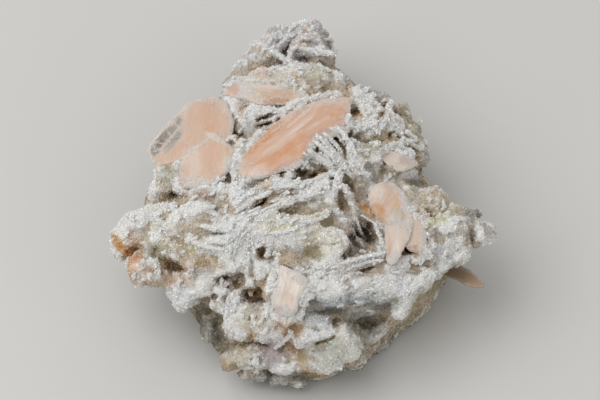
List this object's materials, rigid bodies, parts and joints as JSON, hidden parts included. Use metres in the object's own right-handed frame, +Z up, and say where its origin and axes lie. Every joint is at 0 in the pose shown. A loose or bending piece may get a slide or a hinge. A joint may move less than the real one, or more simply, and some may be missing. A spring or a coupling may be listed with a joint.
{
  "type": "chalcedony with stilbite specimen",
  "caption": "Hand-sized mineral specimen: rough white chalcedony and quartz druse with lattice rods and pits, set with peach blades of stilbite, lying on its broad flat back.",
  "frame": {"origin": "on the ground under the middle of the specimen's box", "axes": "+X to the right and +Y away from the viewer who looks down at the display face, +Z up"},
  "size_m": [0.1158, 0.1206, 0.0516],
  "materials": {
    "chalcedony_druse": "rough, sparkling crystal crust",
    "stilbite_peach": "satin to pearly, slightly see-through",
    "stilbite_pink_clear": "pearly, clear at its left end",
    "stilbite_pale": "satin to pearly"
  },
  "bodies": {
    "root": {"chalcedony_matrix": "chalcedony_druse", "stilbite_main_blade": "stilbite_peach", "stilbite_left_pair": "stilbite_pink_clear", "stilbite_top_blade": "stilbite_peach", "stilbite_right_pair": "stilbite_peach", "stilbite_right_small": "stilbite_pale", "stilbite_lower_middle": "stilbite_pale", "stilbite_lower_right_spear": "stilbite_pale"}
  },
  "joints": []
}
